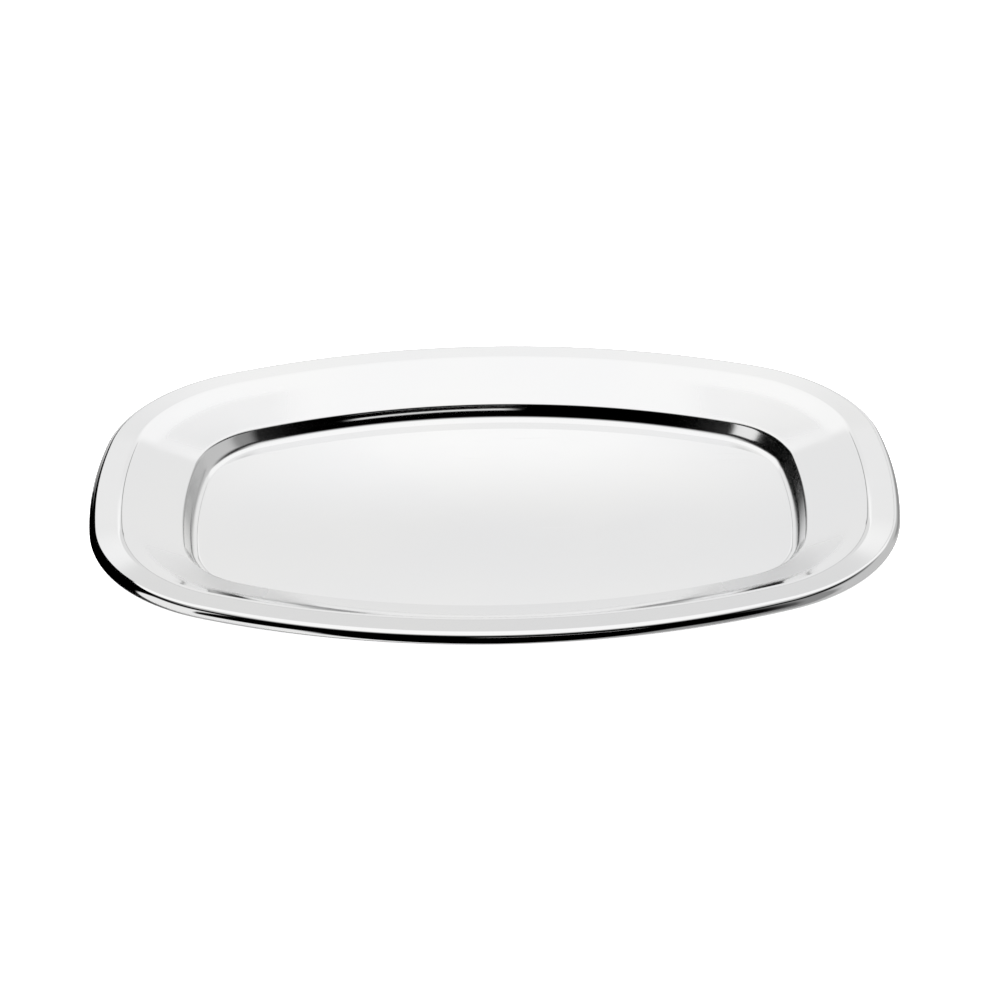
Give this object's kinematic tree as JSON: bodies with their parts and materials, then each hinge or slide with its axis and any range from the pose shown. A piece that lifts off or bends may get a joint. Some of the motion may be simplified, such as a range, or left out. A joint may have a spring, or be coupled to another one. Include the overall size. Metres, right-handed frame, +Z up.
{
  "type": "serving tray",
  "caption": "Oblong steel serving tray: bowed sides, round corners, shallow flat well, wide sloping rim and an edge rolled round a wire.",
  "frame": {"origin": "centre of the tray's plan, on the underside of the well, which rests on the table at Z = 0", "axes": "+X along the tray's length, +Y across its width, +Z up out of the well"},
  "size_m": [0.45, 0.327, 0.023],
  "materials": {
    "polished_steel": "mirror-polished stainless steel with fine wiping scratches",
    "wire_steel": "dull drawn steel wire"
  },
  "bodies": {
    "root": {"tray_pan": "polished_steel", "rim_wire": "wire_steel"}
  },
  "joints": []
}
